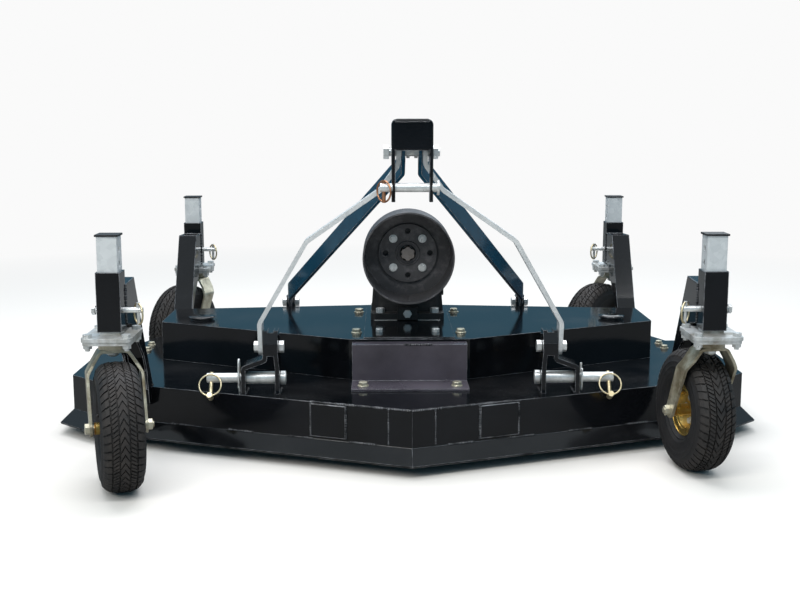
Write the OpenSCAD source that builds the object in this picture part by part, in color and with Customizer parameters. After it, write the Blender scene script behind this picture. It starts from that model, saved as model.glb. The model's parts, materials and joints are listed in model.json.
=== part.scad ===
// Finishing mower for a three-point hitch: a wide low deck on four castering
// pneumatic wheels, with a raised belt cover, a right-angle gearbox behind a bell
// guard, an A-frame mast with a floating top bracket, and three blades below.
// X is to the right of somebody facing the hitch side, Y points away from the
// tractor, Z is up and the ground is Z = 0.

/* [Stance] */
// sideways distance between the height posts
post_span = 1260; // [1200:5:1340]
// fore-and-aft distance between the height posts
wheelbase = 1073; // [1040:1:1120]
// place of the front posts, fore and aft
front_post_y = -473; // [-480:1:-466]
// height of the top of the posts
post_top = 529; // [500:1:560]

/* [Deck] */
// half width over the deck walls
deck_half = 820; // [805:1:850]
// height of the deck top plate above ground
deck_z = 144; // [138:1:150]
// place of the nose of the deck
nose_y = -451; // [-462:1:-440]
// half width where the front wall turns into the corner
corner_x = 742; // [700:1:770]
// how far the front wall sweeps back at that turn
corner_back = 282; // [250:1:300]
// how far the corner face runs back
corner_run = 72; // [50:1:90]
// back end of the outer wings
wing_y = 312; // [300:1:330]
// half width of the deck behind the wings
tail_half = 728; // [700:1:760]
// back edge of the deck
tail_y = 385; // [380:1:387]
// thickness of the deck plate
sheet = 5; // [3:0.5:6]
// height of the lower edge of the walls
wall_low = 52; // [44:1:60]
// how far the skirt flares out
skirt_out = 30; // [20:1:34]
// height of the skirt's lower edge
skirt_low = 25; // [20:1:34]

/* [Belt cover] */
// half width of the cover
cover_half = 634; // [610:1:645]
// height of the cover's top
cover_z = 242; // [225:1:255]
// place of the front corners
cover_front = 85; // [60:1:100]
// place of the back corners
cover_back = 279; // [265:1:300]
// front of the middle of the cover
cover_nose = -153; // [-165:1:-140]
// back of the middle of the cover
cover_tail = 355; // [330:1:360]
// half width of the centre panel
panel_half = 136; // [125:1:145]
// face of the centre panel
panel_y = -189; // [-200:1:-180]
// half width of the plate under the gearbox
plate_half = 109; // [100:1:112]
// back edge of that plate
plate_back = 262; // [255:1:275]
// sideways place of the washered bolts beside the plate
bolt_x = 128; // [126:1:134]

/* [Gearbox and guard] */
// height of the input shaft
shaft_z = 425; // [410:1:440]
// radius of the bell guard
guard_r = 112.5; // [105:0.5:118]
// mouth of the bell guard
guard_mouth = -73; // [-85:1:-60]
// back of the bell guard
guard_back = 55; // [50:1:60]

/* [Spindles and blades] */
// sideways place of the outer spindles
spindle_x = 536; // [530:1:540]
// fore-and-aft place of the outer spindles
spindle_y = 120; // [105:1:125]
// fore-and-aft place of the middle spindle
centre_y = -128; // [-138:1:-118]
// radius swept by a blade
blade_r = 268; // [255:1:269]
// height of the underside of the blades
blade_z = 50; // [46:1:56]

/* [Hitch and mast] */
// sideways place of the lower hitch points
hitch_x = 343; // [335:1:352]
// fore-and-aft place of the lower hitch pins
hitch_y = -270; // [-280:1:-262]
// height of the lower hitch pins
hitch_z = 176; // [172:1:184]
// place of the mast bolt, fore and aft
mast_y = -373; // [-385:1:-360]
// height of the mast bolt
mast_z = 693; // [660:1:720]

/* [Casters] */
// trail of the wheel behind its kingpin
trail = 66; // [58:1:70]
// radius of the tyre
tyre_r = 135; // [130:0.5:137]
// width of the tyre
tyre_w = 88; // [80:1:92]
// yaw of each caster as parked: front left, front right, rear left, rear right
yaws = [18, 189, -25, -46];

/* [Hidden] */
half = post_span / 2;
rear_post_y = front_post_y + wheelbase;
plate_z = 320;                   // top of the fixed caster plate
sleeve_low = plate_z + 6;
sleeve_top = sleeve_low + 125;
lock_z = 369;
tube_w = 42;
sleeve_w = 50;
plate_t = 4;
bolt_ys = [-72, 222];
pin_r = 11.1;                    // thin end of the lower hitch pins
linch_x = 113;                   // linchpin, outward from the hitch point
linch_lean = 30;
hairpin_x = 49;                  // hairpin outside the outer lug
// places of the casters: x, y, yaw
casters = [[-half, front_post_y, yaws[0]], [half, front_post_y, yaws[1]],
           [-half, rear_post_y, yaws[2]], [half, rear_post_y, yaws[3]]];
// right half of the deck outline from the nose to the tail
deck_right = [[0, nose_y], [corner_x, nose_y + corner_back],
              [deck_half, nose_y + corner_back + corner_run], [deck_half, wing_y],
              [tail_half, wing_y], [tail_half - 28, tail_y]];
cover_right = [[panel_half + 8, cover_nose], [cover_half, cover_front],
               [cover_half, cover_back], [0, cover_tail]];

function mirrored(pts) = concat(pts, [for (i = [len(pts) - 1 : -1 : 0])
  if (pts[i][0] > 0) [-pts[i][0], pts[i][1]]]);
function unit(v) = v / norm(v);
function left_of(v) = [-v[1], v[0]];
// a strip of the given thickness along a bent line, as one polygon
function joint_dir(p, i) =
  i == 0 ? left_of(unit(p[1] - p[0])) :
  i == len(p) - 1 ? left_of(unit(p[i] - p[i - 1])) :
  let (a = left_of(unit(p[i] - p[i - 1])), b = left_of(unit(p[i + 1] - p[i])), m = unit(a + b))
    m / (m * a);
function strip(p, t) = concat(
  [for (i = [0 : len(p) - 1]) p[i] + joint_dir(p, i) * t / 2],
  [for (i = [len(p) - 1 : -1 : 0]) p[i] - joint_dir(p, i) * t / 2]);

// the bend at point i of a line, as an arc of the given radius
function bend_arc(p, i, r) =
  let (a = unit(p[i - 1] - p[i]), b = unit(p[i + 1] - p[i]), half_turn = acos(a * b) / 2,
       c = p[i] + unit(a + b) * r / sin(half_turn),
       u = p[i] + a * r / tan(half_turn) - c, v = p[i] + b * r / tan(half_turn) - c,
       start = atan2(u[1], u[0]), sweep = (atan2(v[1], v[0]) - start + 540) % 360 - 180)
    [for (k = [0 : 4]) c + r * [cos(start + sweep * k / 4), sin(start + sweep * k / 4)]];
// a line with every inner corner bent to the given radius
function bent(p, r) = concat([p[0]], [for (i = [1 : len(p) - 2]) each bend_arc(p, i, r)], [p[len(p) - 1]]);

module both() { children(); mirror([1, 0, 0]) children(); }
// a rectangle with round corners, centred
module rounded(w, d, r) {
  square([w - 2 * r, d], center = true);
  square([w, d - 2 * r], center = true);
  for (x = [-1, 1]) for (y = [-1, 1]) translate([x * (w / 2 - r), y * (d / 2 - r)]) circle(r = r, $fn = 48);
}
module along_x(length) { rotate([90, 0, 90]) linear_extrude(length, center = true) children(); }
module along_y(length) { rotate([90, 0, 0]) linear_extrude(length, center = true) children(); }
module from_x(x0, length) { translate([x0, 0, 0]) rotate([90, 0, 90]) linear_extrude(length) children(); }
module rod_x(x0, x1, r) {
  translate([x0, 0, 0]) rotate([0, 90, 0]) cylinder(h = x1 - x0, r = r, $fn = 48);
}
module hex_x(x0, x1, r) {
  translate([x0, 0, 0]) rotate([0, 90, 0]) cylinder(h = x1 - x0, r = r, $fn = 6);
}
module hex_z(z0, z1, r) { translate([0, 0, z0]) cylinder(h = z1 - z0, r = r, $fn = 6); }
// a wire ring of radius r round the X axis
module ring_x(r, wire) {
  rotate([0, 90, 0]) rotate_extrude($fn = 48) translate([r, 0]) circle(r = wire, $fn = 16);
}

// deck
// the deck outline less the thickness of its walls
module deck_inside() {
  p = mirrored(deck_right);
  intersection() {
    translate([0, sheet / cos(atan2(corner_back, corner_x))]) polygon(p);
    translate([-sheet, 0]) polygon(p);
    translate([sheet, 0]) polygon(p);
    translate([0, -sheet]) polygon(p);
  }
}

// one length of flared skirt: hangs below a wall from a to b, outward to the right
// of the way from a to b, cut at each end by its mitre angle
module skirt_length(a, b, mitre_a, mitre_b) {
  run = norm(b - a);
  over = 60;
  lap = 0.4;                     // the lengths overlap a little where they are welded
  translate([a[0], a[1], 0]) rotate([0, 0, atan2(b[1] - a[1], b[0] - a[0])])
    difference() {
      translate([run / 2, 0, 0]) rotate([90, 0, 90])
        linear_extrude(run + 2 * over, center = true)
          polygon([[sheet / 2, wall_low + 4], [-skirt_out, skirt_low], [-skirt_out - 1.5, skirt_low + 4],
                   [sheet / 2, wall_low + 10]]);
      rotate([0, 0, -mitre_a]) translate([-200 - lap, -100, 0]) cube([200, 200, 100]);
      translate([run, 0, 0]) rotate([0, 0, mitre_b]) translate([lap, -100, 0]) cube([200, 200, 100]);
    }
}

function heading(a, b) = atan2(b[1] - a[1], b[0] - a[0]);

module deck_shell() {
  r = deck_right;
  color("#15171a") {
    difference() {
      translate([0, 0, wall_low]) linear_extrude(deck_z - wall_low) polygon(mirrored(r));
      // the hollow, open below and at the back between the wings
      translate([0, 0, wall_low - 1]) linear_extrude(deck_z - wall_low - sheet + 1)
        deck_inside();
      translate([-tail_half + 36, wing_y - 60, wall_low - 1])
        cube([2 * (tail_half - 36), 200, deck_z - wall_low - sheet - 24]);
    }
    both() {
      turn0 = heading(r[0], r[1]);
      turn1 = heading(r[1], r[2]);
      turn2 = heading(r[2], r[3]);
      skirt_length(r[0], r[1], turn0, (turn1 - turn0) / 2);
      skirt_length(r[1], r[2], (turn1 - turn0) / 2, (turn2 - turn1) / 2);
      skirt_length(r[2], r[3], (turn2 - turn1) / 2, 0);
    }
  }
}

module belt_cover() {
  skin = 3;
  color("#15171a") difference() {
    translate([0, 0, deck_z]) linear_extrude(cover_z - deck_z) polygon(mirrored(cover_right));
    translate([0, 0, deck_z - 1]) linear_extrude(cover_z - deck_z - skin + 1)
      intersection() {
        polygon(mirrored(cover_right));
        translate([skin, 0]) polygon(mirrored(cover_right));
        translate([-skin, 0]) polygon(mirrored(cover_right));
        translate([0, skin * 1.1]) polygon(mirrored(cover_right));
        translate([0, -skin]) polygon(mirrored(cover_right));
      }
  }
}

module centre_panel() {
  lip = 6;
  color("#15171a") {
    difference() {
      translate([-panel_half, panel_y, deck_z])
        cube([2 * panel_half, cover_nose - panel_y, cover_z - lip - deck_z]);
      translate([-panel_half + 3, panel_y + 3, deck_z - 1])
        cube([2 * panel_half - 6, cover_nose - panel_y, cover_z - lip - deck_z - 2]);
    }
    // the foot it is bolted down by
    translate([-panel_half, panel_y - 86, deck_z]) cube([2 * panel_half, 86, 5]);
    for (x = [-109, 109]) translate([x, panel_y - 54, 0]) {
      translate([0, 0, deck_z + 5]) cylinder(h = 2, r = 12, $fn = 32);
      hex_z(deck_z + 7, deck_z + 15, 9.5);
    }
  }
}

module cover_plate() {
  color("#15171a") {
    translate([-plate_half, cover_nose + 3, cover_z])
      cube([2 * plate_half, plate_back - cover_nose - 3, plate_t]);
    // washered bolts beside the plate, which hold the cover down
    for (x = [-bolt_x, bolt_x]) for (y = bolt_ys) translate([x, y, 0]) {
      translate([0, 0, cover_z]) cylinder(h = 2, r = 13, $fn = 32);
      hex_z(cover_z + 2, cover_z + 10, 9.5);
    }
  }
}

// gearbox
module gearbox() {
  foot = cover_z + plate_t;
  middle = 171;                  // fore-and-aft middle of the case
  case_r = 82;
  color("#17181a") {
    difference() {
      union() {
        translate([0, 162, foot]) linear_extrude(18) rounded(190, 170, 14);
        translate([0, middle, foot + 16]) linear_extrude(88) rounded(176, 130, 26);
        translate([0, middle, foot + 100]) linear_extrude(shaft_z + 62 - foot - 100) rounded(150, 130, 30);
        translate([0, middle, shaft_z]) rotate([90, 0, 0])
          cylinder(h = 130, r = case_r, center = true, $fn = 64);
        translate([0, guard_back, shaft_z]) rotate([-90, 0, 0]) cylinder(h = 60, r = 68, $fn = 64);
        // rear bearing cap: flange and boss
        translate([0, 230, shaft_z]) rotate([-90, 0, 0]) cylinder(h = 18, r = 64, $fn = 64);
        translate([0, 230, shaft_z]) rotate([-90, 0, 0]) cylinder(h = 26, r = 40, $fn = 64);
        translate([-26, 70, foot + 2]) cube([52, 40, 32]);
        // ribs between the foot and the case
        both() for (y = [122, middle, 220]) translate([0, y, 0]) along_y(9)
          polygon([[60, foot + 10], [93, foot + 10], [93, foot + 24], [88, foot + 90], [80, shaft_z + 20],
                   [60, shaft_z + 20]]);
        for (x = [-30, 30]) translate([x, middle, 0]) along_x(8)
          polygon([[-60, shaft_z + 30], [60, shaft_z + 30], [60, shaft_z + 62], [40, shaft_z + 76],
                   [-40, shaft_z + 76], [-60, shaft_z + 62]]);
      }
      translate([0, guard_back - 1, shaft_z]) rotate([-90, 0, 0]) cylinder(h = 80, r = 17.5, $fn = 64);
    }
    // filler boss with its plug, level plug on one side
    translate([0, middle, shaft_z + 60]) cylinder(h = 30, r = 17, $fn = 48);
    translate([0, middle, 0]) hex_z(shaft_z + 89, shaft_z + 99, 12);
    translate([0, middle, foot + 62]) hex_x(80, 97, 11);
    for (x = [-70, 70]) for (y = [92, 236]) translate([x, y, 0]) hex_z(foot + 17, foot + 30, 11);
    translate([0, 63, foot + 18]) rotate([-90, 0, 0]) cylinder(h = 8, r = 11, $fn = 6);
    for (i = [0 : 5]) translate([52 * cos(60 * i + 30), 247, shaft_z + 52 * sin(60 * i + 30)])
      rotate([-90, 0, 0]) cylinder(h = 7, r = 7.5, $fn = 6);
  }
}

module pto_guard() {
  wall = 4;
  color("#121314") difference() {
    translate([0, 0, shaft_z]) rotate([-90, 0, 0]) rotate_extrude($fn = 96)
      polygon([[20.4, guard_back - 13], [74, guard_back - 13], [74, guard_back - 5],
               [guard_r - wall, guard_back - 5], [guard_r - wall, guard_mouth], [guard_r, guard_mouth],
               [guard_r, guard_back - 6], [guard_r - 6, guard_back], [20.4, guard_back]]);
    for (a = [0 : 90 : 270]) translate([56 * cos(a), guard_back - 7, shaft_z + 56 * sin(a)])
      rotate([90, 0, 0]) cylinder(h = 30, r = 7, center = true, $fn = 32);
  }
}

// washered bolts through the guard's back, between its four holes
module guard_bolts() {
  color("#b8babb") for (a = [45 : 90 : 315])
    translate([52 * cos(a), guard_back - 13, shaft_z + 52 * sin(a)]) rotate([90, 0, 0]) {
      cylinder(h = 2, r = 10.5, $fn = 32);
      translate([0, 0, 1.5]) cylinder(h = 6, r = 8, $fn = 6);
    }
}

module pto_shaft() {
  front = 25;
  r = 17.45;
  color("#a8a9a6") translate([0, front, shaft_z]) rotate([-90, 0, 0]) difference() {
    cylinder(h = guard_back + 70 - front, r = r, $fn = 64);
    for (a = [0 : 60 : 300]) rotate([0, 0, a]) translate([r - 2.6, -4.3, -1]) cube([6, 8.6, 32]);
  }
}

// spindles and blades
// x, y of the three spindles: middle, left, right
spindles = [[0, centre_y], [-spindle_x, spindle_y], [spindle_x, spindle_y]];

module spindle_housings() {
  color("#1c1d1f") for (s = spindles) translate([s[0], s[1], 0]) difference() {
    union() {
      translate([0, 0, blade_z + 28]) cylinder(h = deck_z - sheet - blade_z - 28, r = 48, $fn = 48);
      translate([0, 0, deck_z - sheet - 8]) cylinder(h = 8, r = 82, $fn = 48);
    }
    translate([0, 0, blade_z]) cylinder(h = 78, r = 15.06, $fn = 48);
  }
}

module spindle_caps() {
  color("#1d1e21") for (s = [spindles[1], spindles[2]]) translate([s[0], s[1], cover_z])
    rotate_extrude($fn = 64)
      polygon([[0, 0], [28, 0], [28, 4], [33, 5], [33, 8], [30, 10], [22, 11.5], [10, 12], [0, 12]]);
}

module blade(i, turn) {
  s = spindles[i];
  color("#4a4b4c") translate([s[0], s[1], 0]) {
    translate([0, 0, blade_z + 5]) cylinder(h = 15, r = 40, $fn = 48);
    translate([0, 0, blade_z + 4]) cylinder(h = 71, r = 15, $fn = 48);
    hex_z(blade_z - 14, blade_z + 3, 16);
    rotate([0, 0, turn]) {
      translate([0, 0, blade_z]) linear_extrude(8)
        polygon([[-blade_r + 2, -30], [blade_r - 10, -30], [blade_r - 2, -18], [blade_r - 2, 30],
                 [-blade_r + 10, 30], [-blade_r + 2, 18]]);
      // the sail that lifts the grass behind each cutting edge
      for (a = [0, 180]) rotate([0, 0, a]) translate([0, 22, blade_z + 4])
        from_x(blade_r - 100, 84) polygon([[0, 0], [6, 0], [6, 6], [-1, 26], [-7, 24]]);
    }
  }
}

// uprights and posts
// where the deck's front and rear edges lie at a distance x from the middle
function deck_front(x) = x < corner_x ? nose_y + corner_back * x / corner_x :
  nose_y + corner_back + corner_run * (x - corner_x) / (deck_half - corner_x);
function deck_tail(x) = x < tail_half - 28 ? tail_y : wing_y;
sweep = trail + tyre_r + 21;     // clears the tyre as the caster turns
// side view of the bracket from the sleeve to its foot: distance toward the deck, height
function upright_side(foot) = [
  [25, sleeve_low + 8], [25, sleeve_top - 32], [112, sleeve_top - 28], [207, 251], [foot, deck_z],
  [sweep, deck_z], [sweep - 8, 190], [sweep - 31, 230], [sweep - 86, 273], [86, 300], [76, plate_z + 6]];

// the front ones have a tab that reaches down the deck's front wall, at the distance given as wall
module upright(foot, wall = 0) {
  difference() {
    union() {
      translate([-sleeve_w / 2, -sleeve_w / 2, sleeve_low])
        cube([sleeve_w, sleeve_w, sleeve_top - sleeve_low]);
      difference() {
        along_x(sleeve_w) polygon(upright_side(foot));
        // open toward the post: two cheeks and a web
        along_x(sleeve_w - 10) polygon([
          [24, sleeve_low], [24, sleeve_top - 38], [107, sleeve_top - 34], [200, 251], [foot - 9, deck_z + 5],
          [foot - 9, deck_z - 1], [180, deck_z - 1], [180, 200], [50, 250]]);
      }
      if (wall > 0) along_x(sleeve_w)
        polygon([[sweep - 8, 190], [foot, deck_z], [wall, deck_z], [wall, 100], [sweep + 10, 105]]);
    }
    translate([-tube_w / 2 - 0.5, -tube_w / 2 - 0.5, sleeve_low - 1])
      cube([tube_w + 1, tube_w + 1, sleeve_top - sleeve_low + 2]);
    translate([0, 0, lock_z]) rod_x(-40, 40, 7);
  }
}

module front_uprights() {
  gap = 0.3;
  color("#15171a") both() difference() {
    wall = deck_front(half) - front_post_y;
    translate([half, front_post_y, 0]) upright(wall + 14, wall);
    // the tab is cut to the slant of the deck's front wall
    translate([0, -gap, 0]) linear_extrude(deck_z) polygon(mirrored(deck_right));
  }
}
module rear_uprights() {
  tail = rear_post_y - deck_tail(half + sleeve_w / 2);
  color("#15171a") both() translate([half, rear_post_y, 0]) mirror([0, 1, 0]) upright(tail + 60);
}

module post() {
  difference() {
    union() {
      translate([-tube_w / 2, -tube_w / 2, plate_z]) cube([tube_w, tube_w, post_top - 4 - plate_z]);
      // fixed plate and the swivel plate bolted under it
      translate([0, 0, plate_z - 8]) linear_extrude(8) rounded(104, 134, 14);
      translate([0, 0, plate_z - 15]) linear_extrude(7.5) rounded(100, 130, 14);
      // ball race pressed out of the swivel plate
      translate([0, 0, plate_z]) rotate_extrude($fn = 64)
        polygon([[0, -10], [46, -10], [46, -15.5], [41, -16], [36, -19], [0, -19]]);
    }
    translate([-tube_w / 2 + 3, -tube_w / 2 + 3, plate_z - 1]) cube([tube_w - 6, tube_w - 6, 300]);
    for (z = [lock_z, lock_z + 38, lock_z + 98, lock_z + 128]) translate([0, 0, z]) rod_x(-40, 40, 6.5);
    translate([0, 0, plate_z - 20]) cylinder(h = 22, r = 7.05, $fn = 48);
  }
}
module front_posts() { color("#b9bcbd") both() translate([half, front_post_y, 0]) post(); }
module rear_posts() { color("#b9bcbd") both() translate([half, rear_post_y, 0]) post(); }

module post_caps() {
  color("#1a1b1d") for (c = casters) translate([c[0], c[1], post_top - 4]) {
    translate([-24, -24, 0]) cube([48, 48, 4]);
    translate([-18, -18, -12]) cube([36, 36, 12]);
  }
}

module plate_bolts() {
  color("#c3c5c6") for (c = casters) for (x = [-40, 40]) for (y = [-50, 50])
    translate([c[0] + x, c[1] + y, 0]) {
      hex_z(plate_z, plate_z + 7, 9.5);
      hex_z(plate_z - 23, plate_z - 15, 9.5);
      translate([0, 0, plate_z - 28]) cylinder(h = 6, r = 5, $fn = 24);
    }
}

module lock_pins() {
  color("#b7b09a") for (c = casters) translate([c[0], c[1], lock_z]) {
    // the head is outboard and the ring inboard
    mirror([c[0] < 0 ? 0 : 1, 0, 0]) {
      rod_x(-33, 66, 6);
      hex_x(-40, -33, 10);
      translate([56, 0, -32]) cylinder(h = 48, r = 3.5, $fn = 24);
      translate([56, 0, -8]) rotate([0, 0, 35]) ring_x(22, 1.8);
    }
  }
}

// hitch and mast
arm_x = hitch_x - 2;
module hitch_clevises() {
  // front view of the two bent strips of the right clevis, from the deck to the arm: x, height
  outer = [[hitch_x + 37, deck_z], [hitch_x + 37, 204], [arm_x - 11, 222], [arm_x - 11, 288]];
  inner = [[hitch_x - 40, deck_z], [hitch_x - 40, 204], [arm_x - 35, 236], [arm_x - 35, 288]];
  color("#15171a") both() difference() {
    intersection() {
      union() {
        for (path = [outer, inner]) translate([0, hitch_y, 0]) along_y(60) polygon(strip(bent(path, 8), 10));
        translate([arm_x - 30, hitch_y - 30, 232]) cube([14, 60, 52]);
      }
      translate([hitch_x, hitch_y, 0]) along_x(140)
        polygon([[-30, 140], [30, 140], [30, 260], [16, 288], [-16, 288], [-30, 260]]);
    }
    translate([hitch_x, hitch_y, hitch_z]) rod_x(-60, 60, pin_r + 0.05);
    translate([hitch_x, hitch_y + 2, 248]) rod_x(-60, 60, 8.1);
  }
}

module hitch_pins() {
  color("#c4c6c6") both() translate([hitch_x, hitch_y, 0]) {
    translate([0, 0, hitch_z]) difference() {
      union() {
        rod_x(-34.5, 31.5, 14.3);
        rod_x(-58, 123, pin_r);
        rod_x(-57, -46, 16);
      }
      translate([linch_x, 0, 0]) rotate([-linch_lean, 0, 0])
        cylinder(h = 60, r = 4.55, center = true, $fn = 24);
      translate([hairpin_x, 0, -20]) cylinder(h = 40, r = 2.55, $fn = 24);
    }
    translate([0, 2, 248]) { rod_x(-52, 14, 8); hex_x(-54, -43, 14); hex_x(4, 14, 13); }
  }
}

module hitch_clips() {
  color("#c79f55") both() translate([hitch_x, hitch_y, hitch_z]) {
    // linchpin and its ring, leaning so that both hang clear in front of the deck
    translate([linch_x, 0, 0]) rotate([-linch_lean, 0, 0]) {
      translate([0, 0, -46]) cylinder(h = 59, r = 4.5, $fn = 24);
      translate([0, 6, -46]) rotate([90, 0, 0]) cylinder(h = 25, r = 6.5, $fn = 24);
      translate([0, -15.5, -22]) rotate([0, 0, 90]) ring_x(25, 1.8);
    }
    translate([hairpin_x, 0, -28]) cylinder(h = 56, r = 2.5, $fn = 24);
  }
}

mast_drop = mast_z - 248;
// front view of the right arm: x, height
arm_front = [[28.5, mast_z + 30], [28.5, mast_z - 26], [68, mast_z - 82], [230, mast_z - 196],
             [arm_x, 307], [arm_x, 230]];
module lean_band(w) {
  // side view of the arms, leaning back from the mast bolt to the hitch bolt
  top = [mast_y, mast_z];
  low = [hitch_y + 2, 248];
  polygon(strip([top, low], w));
  translate(top) circle(r = w / 2, $fn = 48);
  translate(low) circle(r = w / 2, $fn = 48);
}
module mast_arms() {
  color("#c0c3c4") both() difference() {
    intersection() {
      translate([0, -300, 0]) along_y(400) polygon(strip(bent(arm_front, 24), 10));
      translate([200, 0, 0]) along_x(500) lean_band(40);
    }
    translate([0, mast_y, mast_z]) rod_x(0, 60, 9.05);
    translate([arm_x, hitch_y + 2, 248]) rod_x(-20, 20, 8.1);
  }
}

module mast_bolt() {
  color("#c6c7c5") translate([0, mast_y, mast_z]) {
    rod_x(-58, 60, 9);
    hex_x(-61, -49, 15);
    hex_x(46, 56, 15);
    hex_x(-12, -5, 13);
    hex_x(5, 12, 13);
  }
}

foot_x = 323;
foot_y = 366;
foot_z = 248;
module rear_struts() {
  plan = [[18, mast_y - 30], [18, mast_y + 46], [foot_x, foot_y - 60], [foot_x, foot_y + 30]];
  color("#15171a") both() difference() {
    intersection() {
      translate([0, 0, 200]) linear_extrude(600) polygon(strip(bent(plan, 30), 8));
      translate([200, 0, 0]) along_x(500) {
        polygon(strip([[mast_y, mast_z], [foot_y, foot_z]], 40));
        translate([mast_y, mast_z]) circle(r = 20, $fn = 48);
        translate([foot_y, foot_z]) circle(r = 20, $fn = 48);
      }
    }
    translate([0, mast_y, mast_z]) rod_x(0, 60, 9.05);
    translate([foot_x, foot_y, foot_z]) rod_x(-20, 20, 8.05);
  }
}

module strut_lugs() {
  color("#15171a") both() difference() {
    for (x = [foot_x - 12.2, foot_x + 4.2]) translate([x + 4, 0, 0]) along_x(8)
      polygon([[foot_y - 30, deck_z], [foot_y + 19, deck_z], [foot_y + 19, foot_z + 8],
               [foot_y + 8, foot_z + 18], [foot_y - 10, foot_z + 18], [foot_y - 18, foot_z]]);
    translate([foot_x, foot_y, foot_z]) rod_x(-20, 20, 8.05);
  }
  color("#c6c7c5") both() translate([foot_x, foot_y, foot_z]) {
    rod_x(-22, 24, 8);
    hex_x(-22, -12.2, 13);
    hex_x(12.2, 22, 13);
  }
}

// floating top bracket
module top_bracket() {
  across = 88;                   // over the cheeks
  plate = 8;
  corner = 14;                   // outer radius of the bends
  front = -60;
  color("#15171a") translate([0, mast_y, mast_z]) difference() {
    intersection() {
      // channel bent from one plate, its web toward the tractor
      translate([0, 0, -110]) linear_extrude(190) difference() {
        translate([0, 60]) rounded(across, 240, corner);
        translate([0, 60 + plate]) rounded(across - 2 * plate, 240, corner - plate);
      }
      along_x(across + 10)
        polygon(concat([[25, 40], [10, 71], [-54, 71], [front, 65], [front, -96], [-54, -103], [-32, -103],
                        [-28, -96], [-28, -42]], [for (a = [-118 : 14.75 : 0]) 25 * [cos(a), sin(a)]]));
      // the web is cut away over the ears, and its top corners are rounded
      translate([0, 100, 0]) along_y(400) union() {
        translate([0, 38]) rounded(across, 66, corner);
        for (x = [-1, 1]) translate([x * (across / 2 - plate / 2), -50]) square([plate, 150], center = true);
      }
    }
    rod_x(-60, 60, 9.1);
    translate([0, -44, -73]) rod_x(-60, 60, 9.6);
  }
}

// where the linchpin crosses the top link pin, from the middle
top_clip_x = -60;
module top_link_pin() {
  color("#c4c6c6") translate([0, mast_y - 44, mast_z - 73]) difference() {
    union() {
      rod_x(-68, 58, 9.5);
      rod_x(52, 57, 16);
    }
    translate([top_clip_x, 0, -20]) cylinder(h = 40, r = 4.05, $fn = 24);
  }
}

// linchpin through the free end of the top link pin
module top_link_clip() {
  color("#b4702f") translate([top_clip_x, mast_y - 44, mast_z - 73]) {
    translate([0, 0, -32]) cylinder(h = 48, r = 4, $fn = 24);
    translate([0, 0, -8]) rotate([0, 0, 40]) ring_x(22, 2);
  }
}

// casters and wheels
// moves children from the caster's own place (kingpin on Z, wheel toward -Y) to caster i
module at_caster(i) { translate([casters[i][0], casters[i][1], 0]) rotate([0, 0, casters[i][2]]) children(); }

module fork(i) {
  crown = plate_z - 32;
  leg = 56;
  // the one bent strip from the front, and the outline its raked legs are cut to from the side
  arch = [[-leg, 112], [-leg, 240], [-28, crown - 3], [28, crown - 3], [leg, 240], [leg, 112]];
  rake = [[24, crown + 2], [20, crown - 30], [-trail + 16, tyre_r - 6], [-trail - 16, tyre_r + 4],
          [-28, crown - 30], [-26, crown + 2]];
  color("#b3ad8e") at_caster(i) {
    difference() {
      union() {
        translate([0, 0, crown]) cylinder(h = 12.5, r = 30, $fn = 48);
        intersection() {
          translate([0, -40, 0]) along_y(160) polygon(strip(bent(arch, 12), 6));
          along_x(200) {
            polygon(rake);
            translate([-trail, tyre_r]) circle(r = 17, $fn = 48);
          }
        }
      }
      translate([0, -trail, tyre_r]) rod_x(-80, 80, 6.05);
    }
    // kingpin and its nut
    translate([0, 0, crown - 17]) cylinder(h = 47, r = 7, $fn = 48);
    hex_z(crown - 15, crown - 5, 11);
    // wheel bolt, head and nut
    translate([0, -trail, tyre_r]) {
      rod_x(-66, 72, 6);
      hex_x(-68, -59, 11);
      hex_x(59, 69, 11);
      for (x = [-53, 46.5]) rod_x(x, x + 6.5, 9);
    }
  }
}

module rim(i) {
  color("#b8984a") at_caster(i) translate([0, -trail, tyre_r]) rotate([0, 90, 0]) rotate_extrude($fn = 64)
    polygon([[6.1, -46], [13, -46], [13, -8], [34, -5], [40, -22], [50, -26], [57, -28], [57, -25],
             [52, -22], [50, 0], [52, 22], [57, 25], [57, 28], [50, 26], [40, 22], [34, 5], [13, 8],
             [13, 46], [6.1, 46]]);
}

module tyre(i) {
  w = tyre_w / 2;
  color("#2b2826") at_caster(i) translate([0, -trail, tyre_r]) rotate([0, 90, 0]) rotate_extrude($fn = 72)
    polygon([[57.2, -28], [66, -36], [84, -w + 1], [104, -w], [119, -w + 4], [tyre_r - 6, -w + 11],
             [tyre_r - 1.5, -18], [tyre_r, 0], [tyre_r - 1.5, 18], [tyre_r - 6, w - 11], [119, w - 4],
             [104, w], [84, w - 1], [66, 36], [57.2, 28], [57.2, 25], [52.2, 22], [50.2, 0],
             [52.2, -22], [57.2, -25]]);
}

deck_shell();
belt_cover();
centre_panel();
cover_plate();
gearbox();
pto_guard();
spindle_housings();
spindle_caps();
front_uprights();
rear_uprights();
front_posts();
rear_posts();
post_caps();
plate_bolts();
lock_pins();
hitch_clevises();
hitch_pins();
hitch_clips();
mast_arms();
mast_bolt();
rear_struts();
strut_lugs();
top_bracket();
top_link_pin();
pto_shaft();
blade(0, 20);  // centre_blade
blade(1, 75);  // left_blade
blade(2, 110);  // right_blade
fork(0);  // front_left_fork
fork(1);  // front_right_fork
fork(2);  // rear_left_fork
fork(3);  // rear_right_fork
rim(0);  // front_left_rim
rim(1);  // front_right_rim
rim(2);  // rear_left_rim
rim(3);  // rear_right_rim
tyre(0);  // front_left_tyre
tyre(1);  // front_right_tyre
tyre(2);  // rear_left_tyre
tyre(3);  // rear_right_tyre
guard_bolts();
top_link_clip();
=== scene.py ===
import math

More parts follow.
